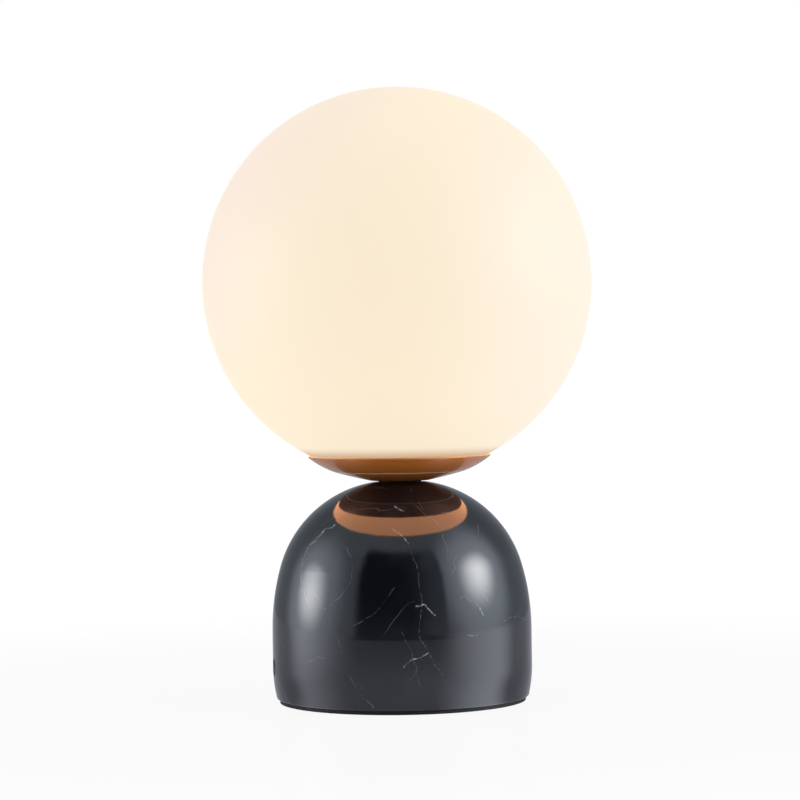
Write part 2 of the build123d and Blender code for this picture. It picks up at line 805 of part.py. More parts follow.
def bulb_housing():
    """Flared shell with a plug that is crimped into the screw cap."""
    plug_radius_out = cap_radius - cap_sheet - slip_gap
    plug_bottom = cap_top - bulb_plug_depth
    outside = flare(bulb_neck_radius, housing_radius, neck_top)
    inside = flare(bulb_neck_radius - housing_wall, housing_radius - housing_wall, neck_top)
    bore = bulb_neck_radius - housing_wall
    plug_bore = plug_radius_out - housing_wall
    return turned(
        Polyline((plug_bore, plug_bottom), (plug_radius_out, plug_bottom),
                 (plug_radius_out, cap_top), (bulb_neck_radius, cap_top),
                 (bulb_neck_radius, neck_top)),
        *outside,
        Polyline((housing_radius, flare_top), (housing_radius, housing_top),
                 (housing_radius - housing_wall, housing_top),
                 (housing_radius - housing_wall, flare_top)),
        *inside,
        Polyline((bore, neck_top), (bore, cap_top), (plug_bore, cap_top),
                 (plug_bore, plug_bottom)))


def bulb_led_board():
    board_radius = housing_radius - housing_wall - slip_gap
    return rod(board_radius, housing_top - led_board_thickness, led_board_thickness)


def bulb_leds():
    chip = Box(*led_size, align=(Align.CENTER, Align.CENTER, Align.MIN))
    chips = [place * Pos(0, 0, housing_top) * chip
             for place in PolarLocations(led_circle_radius, led_count)]
    return Compound(children=chips)


def bulb_driver_board():
    """Upright circuit board in the housing's neck, below the LED board."""
    board = Box(*driver_board, align=(Align.CENTER, Align.CENTER, Align.MAX))
    return Pos(0, 0, housing_top - led_board_thickness) * board


def bulb_driver_parts():
    """Capacitor and coil on the two faces of the driver board."""
    level = housing_top - led_board_thickness - driver_board[2] / 3
    face = driver_board[1] / 2
    capacitor = Pos(0, face + driver_capacitor_radius, level) * Cylinder(
        driver_capacitor_radius, driver_capacitor_length)
    coil = Pos(0, -face - driver_coil[1] / 2, level) * Box(*driver_coil)
    return Compound(children=[capacitor, coil])


def bulb_diffuser():
    """Opal cap: a short skirt over the housing's rim and a hemisphere."""
    def shell(radius, bottom):
        return turned(
            Line((0, bottom), (radius, bottom)), Line((radius, bottom), (radius, dome_start)),
            JernArc((radius, dome_start), (0, 1), radius, 90),
            Line((0, dome_start + radius), (0, bottom)))
    return shell(bulb_radius, housing_top) - shell(bulb_radius - diffuser_wall, housing_top)


# ---- Write the pieces

nodes = {
    "marble_base": marble_base(),
    "base_pad": base_pad(),
    "base_cover": base_cover(),
    "cover_screws": cover_screws(),
    "cover_plugs": cover_plugs(),
    "cord_bushing": cord_bushing(),
    "terminal_housing": terminal_housing(),
    "terminal_clamps": terminal_clamps(),
    "terminal_screws": terminal_screws(),
    "terminal_fixing_screw": terminal_fixing_screw(),
    "threaded_tube": threaded_tube(),
    "cushion_washer": cushion_washer(),
    "clamp_washer": clamp_washer(),
    "base_lock_washer": lock_washer(base_lock_bottom),
    "base_nut": base_nut(),
    "neck_washer": neck_washer(),
    "cup": cup(),
    "cup_gasket": cup_gasket(),
    "globe_collar": globe_collar(),
    "collar_lock_washer": lock_washer(collar_lock_bottom),
    "collar_nut": collar_nut(),
    "lampholder_cap": lampholder_cap(),
    "lampholder_sleeve": lampholder_sleeve(),
    "lampholder_insert": lampholder_insert(),
    "lampholder_screw_shell": lampholder_screw_shell(),
    "lampholder_centre_contact": lampholder_centre_contact(),
    "lampholder_terminals": lampholder_terminals(),
    "lampholder_terminal_screws": lampholder_terminal_screws(),
    "lead_live": lead(-1),
    "lead_neutral": lead(1),
    "tube_bushes": tube_bushes(),
    "bulb_diffuser": bulb_diffuser(),
    "bulb_housing": bulb_housing(),
    "bulb_screw_cap": bulb_screw_cap(),
    "bulb_cap_insulator": bulb_cap_insulator(),
    "bulb_centre_contact": bulb_centre_contact(),
    "bulb_led_board": bulb_led_board(),
    "bulb_leds": bulb_leds(),
    "bulb_driver_board": bulb_driver_board(),
    "bulb_driver_parts": bulb_driver_parts(),
    "globe_glass": globe_glass(),
    "globe_ring": globe_ring(),
    "globe_ring_seal": globe_ring_seal(),
}
for node, shape in nodes.items():
    save(node, shape)

levels = {
    "marble top": marble_top, "cup bottom": cup_bottom, "cup rim": cup_rim,
    "rim inner radius": rim_inner_radius, "globe centre": globe_centre, "ring bottom": ring_bottom,
    "holder bottom": holder_bottom, "sleeve top": sleeve_top, "bulb tip": bulb_tip,
    "bulb top": bulb_top, "tube bottom": tube_bottom, "bushing start": bushing_start,
}
print({name: round(level, 2) for name, level in levels.items()})
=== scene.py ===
"""Glass globe table lamp: finishes, threads and studio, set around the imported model."""
import json
from functools import reduce
from math import atan2, cos, pi, radians, sin, tau

import bmesh
import bpy
from bpy.props import FloatProperty, FloatVectorProperty, PointerProperty
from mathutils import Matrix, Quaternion, Vector, noise

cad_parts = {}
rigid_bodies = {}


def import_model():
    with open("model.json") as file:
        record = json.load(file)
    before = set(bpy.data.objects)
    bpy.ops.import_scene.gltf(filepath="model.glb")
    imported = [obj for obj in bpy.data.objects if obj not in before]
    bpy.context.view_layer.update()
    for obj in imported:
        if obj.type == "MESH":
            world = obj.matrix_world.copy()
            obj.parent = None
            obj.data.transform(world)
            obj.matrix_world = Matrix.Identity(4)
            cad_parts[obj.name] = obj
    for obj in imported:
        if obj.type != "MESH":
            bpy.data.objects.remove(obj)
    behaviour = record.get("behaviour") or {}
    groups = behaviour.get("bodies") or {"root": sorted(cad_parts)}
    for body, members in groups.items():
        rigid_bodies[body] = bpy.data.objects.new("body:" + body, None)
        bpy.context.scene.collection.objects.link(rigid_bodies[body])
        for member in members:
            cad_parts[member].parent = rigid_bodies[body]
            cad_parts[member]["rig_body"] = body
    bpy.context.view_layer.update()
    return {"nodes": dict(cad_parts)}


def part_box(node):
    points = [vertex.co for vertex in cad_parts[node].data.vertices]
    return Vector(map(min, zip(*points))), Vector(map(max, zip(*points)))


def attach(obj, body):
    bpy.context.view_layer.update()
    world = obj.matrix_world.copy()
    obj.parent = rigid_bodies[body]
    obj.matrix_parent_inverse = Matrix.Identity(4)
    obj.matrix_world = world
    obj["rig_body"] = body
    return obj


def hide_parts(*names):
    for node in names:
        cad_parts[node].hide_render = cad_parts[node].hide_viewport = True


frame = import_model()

bl_info = {
    "name": "Glass globe table lamp",
    "version": (1, 0, 0),
    "blender": (4, 5, 0),
    "location": "3D View > Sidebar > Globe Lamp",
    "description": "Finishes, threads and studio of a lit opal globe lamp on a black marble base",
    "category": "Object",
}

MM = 0.001  # one millimetre, in Blender's metres
DEGREES = 180 / pi  # in one radian


# ---- Values that a user would change

def length(name, description, default):
    return FloatProperty(name=name, description=description, default=default,
                         subtype="DISTANCE", unit="LENGTH", precision=4)


def colour(name, description, default):
    return FloatVectorProperty(name=name, description=description, default=default,
                               subtype="COLOR", min=0.0, max=1.0)


class LampStudio(bpy.types.PropertyGroup):
    """Camera and lights."""

    camera_distance: length("Camera distance", "From the lamp's axis, along -Y", 1.37)
    camera_height: length("Camera height", "Above the table", 0.165)
    camera_lens: FloatProperty(
        name="Lens", description="Focal length in millimetres", default=119.7, unit="CAMERA")
    camera_roll: FloatProperty(
        name="Roll", description="The camera's lean, as the picture was taken",
        default=radians(0.85), subtype="ANGLE")
    aim_height: length("Aim height", "Point on the axis that the camera looks at", 0.1545)
    aim_side: length("Aim to the side", "Point that the camera looks at, from the axis", 0.0007)
    lamp_distance: length("Softbox distance", "From the lamp's axis to each softbox", 1.3)
    left_radiance: FloatProperty(
        name="Left softbox", description="Brightness in the middle of the left softbox",
        default=7.9, min=0.0)
    right_radiance: FloatProperty(
        name="Right softbox", description="Brightness in the middle of the right softbox",
        default=11.5, min=0.0)
    top_radiance: FloatProperty(
        name="Top softbox", description="Brightness of the softbox overhead", default=2.6, min=0.0)
    fill: FloatProperty(
        name="Fill", description="Even light from all round on matt surfaces", default=0.45,
        min=0.0)
    room_tint: colour("Room", "Tint of the room in reflections", (0.80, 0.89, 1.0))
    table_colour: colour("Table", "Colour of the pale table top", (0.8, 0.79, 0.78))
    table_grain: colour("Table grain", "Duller patches of the table top", (0.74, 0.73, 0.72))
    table_radius: length("Table radius", "The table fades into the white background here", 0.9)
    table_gap: length("Table gap", "From the table top up to the lamp's pad", 0.0003)


class LampFinish(bpy.types.PropertyGroup):
    """Colours of the finishes that show."""

    glass: colour("Opal glass", "The glass with the light off", (0.09, 0.087, 0.083))
    glow: colour("Glow", "Light that the opal glass gives off", (0.885, 0.765, 0.58))
    glow_belly: colour("Glow of the belly", "Warmer light below the middle", (0.90, 0.77, 0.56))
    glow_shoulder: colour("Glow of the shoulder", "Cooler light high on the left",
                          (0.835, 0.705, 0.60))
    glow_side: colour("Glow of the side", "Cooler light on the right", (0.855, 0.755, 0.65))
    glow_low: colour("Glow at the seat", "Light of the glass where the cup shades it",
                     (0.51, 0.315, 0.175))
    glow_mirrored: FloatProperty(
        name="Glow in reflections", description="How much brighter the lit glass is in a "
        "reflection, where it isn't overexposed", default=6.0, min=1.0)
    marble: colour("Marble", "Ground of the stone", (0.0045, 0.0055, 0.0085))
    marble_cloud: colour("Marble cloud", "Paler clouds in the stone", (0.012, 0.0145, 0.020))
    vein: colour("Vein", "Calcite veins", (0.50, 0.52, 0.55))
    copper: colour("Copper", "Spun metal of the cup under its lacquer", (0.58, 0.165, 0.016))
    copper_patch: colour("Copper patches", "Duller patches of the cup", (0.50, 0.15, 0.02))
    copper_ring: colour("Copper rings", "Fine paler rings left by spinning", (0.72, 0.30, 0.09))
    # Painted highlight: the rim's paler gold tone stands in for the highlight on its rounded edge.
    copper_rim: colour("Rim", "Rounded rim of the cup", (0.36, 0.225, 0.085))
    # Painted highlight: the bright line round the crease stands in for light caught on the rounded
    # crease.
    crease: colour("Crease", "Burnished line round the cup's underside", (0.97, 0.72, 0.48))
    foam: colour("Foam", "Pad under the base", (0.012, 0.012, 0.013))
    foam_dust: colour("Foam dust", "Paler patches of the foam", (0.035, 0.034, 0.032))


class LampDetail(bpy.types.PropertyGroup):
    """Threads and edges that the CAD model leaves plain."""

    seat_pitch: length("Seat pitch", "Thread between the collar and the globe's ring", 0.003)
    seat_depth: length("Seat depth", "Crest to root of the same thread", 0.0006)
    cap_pitch: length("Cap pitch", "Thread of the bulb's screw cap", 0.00362)
    cap_depth: length("Cap depth", "Crest to root of the same thread", 0.0009)
    tube_pitch: length("Tube pitch", "Thread of the central tube", 0.001)
    # Place and width of the painted highlight along the cup's crease.
    crease_radius: length("Crease radius", "Burnished line round the cup's underside", 0.033)
    crease_width: length("Crease width", "Width of the same line", 0.0014)
    pad_cut: length("Pad cut", "Depth of the rough edge that the knife left on the pad", 0.0007)
    pad_grain: length("Pad grain", "Size of the bumps along the same edge", 0.0013)


# ---- Node trees, written as expressions

class Socket:
    """An output of a node, used in plain arithmetic."""

    def __init__(self, tree, socket):
        self.tree = tree
        self.socket = socket

    def maths(self, operation, first, second=0.0):
        return self.tree.node("ShaderNodeMath", {"operation": operation},
                              {0: first, 1: second})

    def __add__(self, other):
        return self.maths("ADD", self, other)

    def __sub__(self, other):
        return self.maths("SUBTRACT", self, other)

    def __rsub__(self, other):
        return self.maths("SUBTRACT", other, self)

    def __mul__(self, other):
        return self.maths("MULTIPLY", self, other)

    def __truediv__(self, other):
        return self.maths("DIVIDE", self, other)

    def __rtruediv__(self, other):
        return self.maths("DIVIDE", other, self)

    def __abs__(self):
        return self.maths("ABSOLUTE", self)

    __radd__ = __add__
    __rmul__ = __mul__

    def least(self, other):
        return self.maths("MINIMUM", self, other)

    def most(self, other):
        return self.maths("MAXIMUM", self, other)

    def sine(self):
        return self.maths("SINE", self)

    def arcsine(self):
        return self.maths("ARCSINE", self)

    def power(self, exponent):
        return self.maths("POWER", self, exponent)

    def angle(self, across):
        """Angle in radians of the way that goes this far up and that far across."""
        return self.maths("ARCTAN2", self, across)

    def ramp(self, start, end):
        """Rises smoothly from 0 at start to 1 at end, which may be the smaller."""
        return self.tree.node("ShaderNodeMapRange", {"interpolation_type": "SMOOTHSTEP"},
                              {"Value": self, "From Min": start, "From Max": end})

    def part(self, name):
        """Another output of the same node."""
        return Socket(self.tree, self.socket.node.outputs[name])


class Tree:
    """Builds the node tree of a material, a world or a lamp."""

    def __init__(self, owner):
        owner.use_nodes = True
        self.tree = owner.node_tree
        self.tree.nodes.clear()

    def node(self, kind, settings=(), inputs=(), output=0):
        """Adds a node: its settings first, then its sockets. Returns one of its outputs."""
        made = self.tree.nodes.new(kind)
        for name, value in dict(settings).items():
            setattr(made, name, value)
        for name, value in dict(inputs).items():
            socket = made.inputs[name]
            if isinstance(value, Socket):
                self.tree.links.new(value.socket, socket)
            elif socket.type == "RGBA" and len(value) == 3:
                socket.default_value = (*value, 1.0)
            else:
                socket.default_value = value
        return Socket(self, made.outputs[output]) if made.outputs else None

    def mix(self, factor, first, second):
        """Colour between first, at 0, and second, at 1."""
        return self.node("ShaderNodeMix", {"data_type": "RGBA"}, {0: factor, 6: first, 7: second},
                         output=2)

    def vector(self, operation, first, second=(0.0, 0.0, 0.0), output=0, **sockets):
        return self.node("ShaderNodeVectorMath", {"operation": operation},
                         {0: first, 1: second, **sockets}, output)

    def place(self):
        """The piece's own coordinates, in millimetres."""
        metres = self.node("ShaderNodeTexCoord", output="Object")
        return self.vector("SCALE", metres, Scale=1 / MM)

    def axes(self, vector):
        """The x, y and z of a vector."""
        split = self.node("ShaderNodeSeparateXYZ", inputs={0: vector})
        return split, split.part("Y"), split.part("Z")

    def joined(self, x=0.0, y=0.0, z=0.0):
        return self.node("ShaderNodeCombineXYZ", inputs={0: x, 1: y, 2: z})

    def clouds(self, place, size, detail=2.0, roughness=0.5):
        """Noise from 0 to 1 whose blotches are about size millimetres across."""
        return self.node("ShaderNodeTexNoise", inputs={
            "Vector": place, "Scale": 1 / size, "Detail": detail, "Roughness": roughness})

    def around(self, place):
        """Distance from the Z axis, and height."""
        x, y, z = self.axes(place)
        flat = self.joined(x, y)
        return self.vector("LENGTH", flat, output="Value"), z

    def bump(self, relief):
        """Normal of a surface that stands out by relief, in millimetres."""
        return self.node("ShaderNodeBump", inputs={
            "Height": relief, "Distance": MM, "Strength": 1.0})

    def shade(self, **sockets):
        """Ends the tree in a Principled shader. Underscores in names stand for spaces."""
        inputs = {name.replace("_", " "): value for name, value in sockets.items()}
        shader = self.node("ShaderNodeBsdfPrincipled", inputs=inputs)
        self.node("ShaderNodeOutputMaterial", inputs={"Surface": shader})


def material(name):
    made = bpy.data.materials.new(name)
    return made, Tree(made)


# ---- Finishes, with places and sizes in millimetres

MIRRORED_HUE = (1.0, 0.42, 0.19)  # hue of the lit glass in a reflection, not overexposed

# Metals: the darker and the brighter tone of each.
ZINC = ((0.52, 0.53, 0.54), (0.64, 0.65, 0.66))
BRASS = ((0.68, 0.46, 0.16), (0.78, 0.58, 0.26))
NICKEL = ((0.62, 0.60, 0.56), (0.74, 0.72, 0.69))
ALUMINIUM = ((0.62, 0.63, 0.64), (0.74, 0.75, 0.76))
# Painted shade: the darker tone fills the thread's roots, the brighter its crests.
THREAD_ROOT_SHADE = ((0.30, 0.30, 0.31), (0.62, 0.63, 0.64))

# Plastics, rubber and ceramic.
SILICONE = (0.62, 0.62, 0.60)
NYLON = (0.72, 0.70, 0.62)
NYLON_WHITE = (0.74, 0.72, 0.65)
NYLON_BLACK = (0.012, 0.012, 0.013)
RUBBER = (0.014, 0.014, 0.014)
HOLDER_BLACK = (0.014, 0.014, 0.015)
CERAMIC = (0.74, 0.72, 0.66)
LEAD_BROWN = (0.10, 0.035, 0.012)
LEAD_BLUE = (0.012, 0.06, 0.32)

# Bulb, its light, and the boards in it.
DIFFUSER = (0.30, 0.285, 0.26)
GLOW_AT_RIM = (0.62, 0.47, 0.30)
GLOW_AT_TOP = (0.82, 0.71, 0.55)
HOUSING = (0.74, 0.73, 0.71)
CAP_INSULATOR = (0.012, 0.012, 0.016)
PHOSPHOR = (0.85, 0.62, 0.08)
PHOSPHOR_PALE = (0.95, 0.80, 0.25)
WHITE_BOARD = ((0.76, 0.76, 0.75), (0.60, 0.61, 0.62))
GREEN_BOARD = ((0.02, 0.11, 0.045), (0.05, 0.22, 0.09))
ENAMELLED_WIRE = (0.30, 0.10, 0.03)
SLEEVE = (0.012, 0.014, 0.03)
CAPACITOR_END = (0.7, 0.7, 0.72)


def opal_glass(look):
    """Satin opal glass, lit from inside: even, a little warmer and darker towards its seat."""
    made, tree = material("opal_glass_lit")
    low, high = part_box("globe_glass")
    radius = (high.x - low.x) / 2 / MM
    centre = high.z / MM - radius
    place = tree.place()
    x, _, z = tree.axes(place)
    height = z - low.z / MM
    drift = tree.clouds(place, 70.0, 1.0) - 0.5
    belly = height.ramp(95.0, 12.0) * 0.55
    up_left = (z - centre) * 0.6 - x * 0.75
    shoulder = (up_left + drift * 60.0).ramp(20.0, 120.0)
    side = (x + drift * 40.0).ramp(10.0, 100.0) * 0.6
    near_seat = height.ramp(9.5, 2.6)
    glow = tree.mix(belly, look.glow, look.glow_belly)
    glow = tree.mix(shoulder, glow, look.glow_shoulder)
    glow = tree.mix(side, glow, look.glow_side)
    glow = tree.mix(near_seat, glow, look.glow_low)
    mirrored = tree.node("ShaderNodeLightPath", output="Is Glossy Ray")
    warm = tuple(look.glow_mirrored * part for part in MIRRORED_HUE)
    glow = tree.mix(mirrored, glow, warm)
    pores = tree.clouds(place, 0.9, 3.0, 0.6)
    swirl = tree.clouds(place, 26.0, 2.0)
    tree.shade(Base_Color=look.glass, Roughness=0.56 + pores * 0.1, IOR=1.5,
               Specular_IOR_Level=0.3, Emission_Color=glow, Emission_Strength=1.0,
               Normal=tree.bump(pores * 0.004 + swirl * 0.12))
    return made


# Veins that show in front: width in millimetres, brightness, and (x, z) points along each.
FRONT_VEINS = (
    (0.50, 0.62, ((-32.5, 92.5), (-37.7, 90.3), (-42.6, 85.5), (-46.7, 80.5), (-49.4, 75.4))),
    (0.34, 0.34, ((-49.4, 75.4), (-50.3, 68.5), (-49.3, 60.0), (-46.7, 53.4), (-43.1, 49.3),
                  (-40.0, 47.0))),
    (0.26, 0.22, ((-27.8, 83.0), (-24.7, 78.0), (-23.5, 72.0), (-24.9, 65.5), (-30.2, 58.4),
                  (-38.2, 51.3))),
    (0.40, 0.58, ((-4.1, 91.0), (-0.3, 88.5), (4.0, 84.0))),
    (0.30, 0.24, ((4.0, 84.0), (6.3, 77.0), (8.5, 69.5), (9.9, 56.7))),
    (0.58, 0.90, ((7.1, 54.0), (11.1, 54.7), (13.0, 51.8), (16.6, 49.0))),
    (0.30, 0.24, ((9.9, 56.7), (9.2, 51.6), (8.3, 39.6), (10.1, 35.7), (16.4, 24.7),
                  (22.3, 13.2))),
    (0.26, 0.25, ((-3.2, 63.0), (-10.7, 53.2), (-15.1, 49.3), (-23.6, 43.9))),
    (0.50, 0.90, ((-0.8, 22.8), (4.0, 26.8), (7.4, 28.0), (12.6, 30.6))),
    (0.24, 0.24, ((-0.1, 40.7), (4.1, 33.0), (6.5, 24.2), (8.3, 15.0))),
    (0.42, 0.58, ((28.9, 56.4), (31.3, 57.9), (34.1, 55.0), (37.4, 52.6), (40.3, 47.6))),
    (0.42, 0.66, ((32.6, 38.3), (34.5, 37.5), (37.4, 38.3))),
    (0.30, 0.36, ((51.2, 43.7), (54.5, 45.4), (58.3, 45.2), (62.5, 42.5))),
    (0.60, 1.00, ((-2.9, 101.6), (1.7, 99.5))),
)

# Veins that run right through the block as sheets. Bearing and lean of the sheet's normal in
# degrees, distance from the middle of the stone and width in millimetres, and brightness.
BOLD_SHEETS = (
    (35, 12, 14.0, 0.55, 0.75),
    (118, -24, 21.0, 0.50, 0.70),
    (72, 38, -19.0, 0.42, 0.62),
    (151, 8, -33.0, 0.46, 0.66),
)
FINE_SHEETS = (
    (12, 30, 26.0, 0.26, 0.24),
    (55, -18, -36.0, 0.24, 0.22),
    (96, 52, 9.0, 0.24, 0.19),
    (140, -35, 4.0, 0.26, 0.22),
    (170, 20, 41.0, 0.28, 0.25),
    (28, -48, -12.0, 0.22, 0.19),
)


def vein_distance(tree, place, start, end):
    """Distance in the x-z plane to the line from start to end."""
    along = Vector((end[0] - start[0], 0.0, end[1] - start[1]))
    origin = (start[0], 0.0, start[1])
    offset = tree.vector("SUBTRACT", place, origin)
    share = tree.vector("DOT_PRODUCT", offset, along / along.length_squared, output="Value")
    share = share.most(0.0).least(1.0)
    foot = tree.vector("SCALE", tuple(along), Scale=share)
    gap = tree.vector("SUBTRACT", offset, foot)
    return tree.vector("LENGTH", gap, output="Value")


def front_veins(tree, place):
    """Brightness of the veins on the front of the stone."""
    _, y, _ = tree.axes(place)
    wander = tree.node("ShaderNodeTexNoise", {"normalize": False}, {
        "Vector": place, "Scale": 0.14, "Detail": 3.0, "Roughness": 0.6}, output="Color")
    bent = tree.vector("ADD", place, tree.vector("SCALE", wander, Scale=0.7))
    bent_x, _, bent_z = tree.axes(bent)
    flat = tree.joined(bent_x, 0.0, bent_z)
    breaks = tree.clouds(place, 1.6, 2.0, 0.7).ramp(0.42, 0.60)
    fades = tree.clouds(place, 13.0, 2.0, 0.5).ramp(0.36, 0.56)
    lines = []
    for width, brightness, points in FRONT_VEINS:
        gaps = [vein_distance(tree, flat, start, end) for start, end in zip(points, points[1:])]
        nearest = reduce(Socket.least, gaps)
        lines.append(nearest.ramp(width, width * 0.25) * brightness)
    in_front = y.ramp(-2.0, -8.0)
    broken = (0.07 + breaks * 0.93) * (0.18 + fades * 0.82)
    return reduce(Socket.most, lines) * in_front * broken


def sheet_veins(tree, place, sheets, seed):
    """Brightness where thin sheets of calcite, each broken up by a noise, meet the surface."""
    level = 60.0  # height on the axis from which the distances are measured
    wander = (tree.clouds(place, 30.0, 4.0, 0.5) - 0.5) * 26.0
    lines = []
    for index, (bearing, lean, distance, width, brightness) in enumerate(sheets):
        normal = (cos(radians(bearing)) * cos(radians(lean)),
                  sin(radians(bearing)) * cos(radians(lean)), sin(radians(lean)))
        middle = distance + normal[2] * level
        along = tree.vector("DOT_PRODUCT", place, normal, output="Value")
        gap = abs(along + wander - middle)
        elsewhere = (seed + index * 37.0, index * 11.0, 0.0)  # each sheet has its own breaks
        moved = tree.vector("ADD", place, elsewhere)
        shown = tree.clouds(moved, 27.0, 3.0, 0.6).ramp(0.50, 0.60)
        lines.append(gap.ramp(width, width * 0.2) * shown * brightness)
    return reduce(Socket.most, lines)


def black_marble(look):
    """Polished black stone with white calcite veins, hairlines and specks."""
    made, tree = material("black_marble_polished")
    place = tree.place()
    _, y, _ = tree.axes(place)
    behind = y.ramp(-14.0, 2.0)
    bold = sheet_veins(tree, place, BOLD_SHEETS, 5.0) * behind
    fine = sheet_veins(tree, place, FINE_SHEETS, 90.0)
    cells = tree.node("ShaderNodeTexVoronoi", inputs={"Vector": place, "Scale": 1 / 5.0})
    chosen = tree.axes(cells.part("Color"))[0].ramp(0.80, 0.84)
    specks = cells.ramp(0.050, 0.015) * chosen * 0.55
    front = front_veins(tree, place)
    veins = front.most(bold).most(fine).most(specks)
    cloud = tree.clouds(place, 22.0, 4.0, 0.6).ramp(0.42, 0.75)
    ground = tree.mix(cloud, look.marble, look.marble_cloud)
    polish = tree.clouds(place, 14.0, 3.0, 0.6)
    tree.shade(Base_Color=tree.mix(veins, ground, look.vein),
               Roughness=0.075 + polish * 0.035 + veins * 0.16,
               IOR=1.5,
               Normal=tree.bump(polish * 0.02 - veins * 0.012))
    return made


def spun_copper(look, detail):
    """Copper-brown spun metal under a clear lacquer; a bright line along the crease and a paler
    gold rim are painted highlights.
    """
    made, tree = material("spun_copper_brown")
    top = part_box("cup")[1].z / MM
    place = tree.place()
    radius, z = tree.around(place)
    rings = tree.clouds(tree.joined(radius, z), 0.16, 2.0, 0.7)
    patches = tree.clouds(place, 13.0, 3.0, 0.6)
    off_crease = abs(radius - detail.crease_radius / MM)
    half_width = detail.crease_width / MM / 2
    # Painted highlight: a bright, less metallic line round the crease stands in for light caught
    # on its rounded edge.
    crease_highlight = off_crease.ramp(half_width * 1.4, half_width * 0.5)
    # Painted highlight: towards the rim the tone turns paler gold, with less metal and lacquer, in
    # place of the highlight on the rounded rim.
    rim = z.ramp(top - 1.3, top - 0.5)
    tone = tree.mix(patches.ramp(0.3, 0.75) * 0.3, look.copper, look.copper_patch)
    tone = tree.mix(rings.ramp(0.35, 0.8) * 0.15, tone, look.copper_ring)
    tone = tree.mix(rim, tone, look.copper_rim)
    tone = tree.mix(crease_highlight, tone, look.crease)
    tree.shade(Base_Color=tone, Metallic=0.4 * (1 - crease_highlight.most(rim * 0.85)),
               Roughness=0.46 + rings * 0.08 + patches * 0.06,
               Coat_Weight=0.75 - rim * 0.55, Coat_Roughness=0.02, Coat_IOR=1.5,
               Normal=tree.bump(rings * 0.002))
    return made


def foam(look):
    """Dark closed-cell foam."""
    made, tree = material("dark_foam")
    place = tree.place()
    cells = tree.node("ShaderNodeTexVoronoi", inputs={"Vector": place, "Scale": 1 / 0.55})
    dust = tree.clouds(place, 4.0, 3.0, 0.7)
    tree.shade(Base_Color=tree.mix(dust.ramp(0.5, 0.8) * 0.5, look.foam, look.foam_dust),
               Roughness=0.85 + dust * 0.1, Normal=tree.bump(cells * 0.12))
    return made


def metal(name, darker, brighter, roughness, ring_size=0.3):
    """Turned or plated metal: rings about the Z axis and cloudy plating."""
    made, tree = material(name)
    place = tree.place()
    radius, z = tree.around(place)
    rings = tree.clouds(tree.joined(radius, z), ring_size, 2.0, 0.6)
    plating = tree.clouds(place, 3.5, 3.0, 0.6)
    tree.shade(Base_Color=tree.mix(plating.ramp(0.35, 0.75), darker, brighter), Metallic=1.0,
               Roughness=roughness + plating * 0.12 + rings * 0.06,
               Normal=tree.bump(rings * 0.004))
    return made


def moulded(name, tone, roughness, grain=0.35, relief=0.006, coat=0.0):
    """Moulded plastic, rubber or ceramic with a fine grain and slight clouds."""
    made, tree = material(name)
    place = tree.place()
    pits = tree.clouds(place, grain, 3.0, 0.6)
    clouds = tree.clouds(place, 8.0, 3.0, 0.6)
    darker = tuple(part * 0.82 for part in tone)
    tree.shade(Base_Color=tree.mix(clouds.ramp(0.4, 0.8) * 0.6, tone, darker),
               Roughness=roughness + clouds * 0.1, Coat_Weight=coat,
               Normal=tree.bump(pits * relief + clouds * relief * 4))
    return made


def threaded_steel(pitch):
    """Zinc plated tube with a cut thread, which is too fine to model, and painted shade in the
    thread's roots.
    """
    made, tree = material("zinc_steel_threaded")
    place = tree.place()
    x, y, z = tree.axes(place)
    wave = (z * (tau / (pitch / MM)) - y.angle(x)).sine()
    plating = tree.clouds(place, 2.5, 3.0, 0.6)
    # Painted shade: darker in the thread's roots, brighter on its crests.
    tree.shade(Base_Color=tree.mix(wave.ramp(-1.0, 1.0), *THREAD_ROOT_SHADE),
               Metallic=1.0, Roughness=0.28 + plating * 0.15,
               Normal=tree.bump(wave * 0.15))
    return made


def lit_diffuser():
    """Opal plastic of the lit bulb, brightest over its light source."""
    made, tree = material("bulb_opal_lit")
    low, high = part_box("bulb_diffuser")
    place = tree.place()
    _, _, z = tree.axes(place)
    height = (z - low.z / MM).ramp(0.0, (high.z - low.z) / MM)
    skin = tree.clouds(place, 0.5, 2.0, 0.5)
    tree.shade(Base_Color=DIFFUSER, Roughness=0.38 + skin * 0.08,
               Emission_Color=tree.mix(height, GLOW_AT_RIM, GLOW_AT_TOP),
               Emission_Strength=1.0, Normal=tree.bump(skin * 0.003))
    return made


def circuit_board(name, tone, track):
    """Board with conductors in a right-angled pattern under its lacquer."""
    made, tree = material(name)
    cells = tree.node("ShaderNodeTexVoronoi", {"distance": "CHEBYCHEV"},
                      {"Vector": tree.place(), "Scale": 1 / 6.0, "Randomness": 0.8})
    line = abs(cells - 0.42).ramp(0.084, 0.035)
    tree.shade(Base_Color=tree.mix(line, tone, track), Roughness=0.32 + line * 0.1,
               Coat_Weight=0.4, Normal=tree.bump(line * 0.03))
    return made


def driver_finish():
    """Sleeved capacitor with a bare aluminium end, and a dark wound coil."""
    made, tree = material("driver_parts")
    _, y, z = tree.axes(tree.place())
    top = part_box("bulb_driver_parts")[1].z / MM
    bare_end = (z - top).ramp(-0.35, -0.2) * y.ramp(0.0, 1.0)
    windings = (z * 9.0).sine() * y.ramp(0.0, -1.0)
    tone = tree.mix(y.ramp(-0.5, 0.5), ENAMELLED_WIRE, SLEEVE)
    tree.shade(Base_Color=tree.mix(bare_end, tone, CAPACITOR_END), Metallic=bare_end,
               Roughness=0.42 - bare_end * 0.12, Normal=tree.bump(windings * 0.06))
    return made


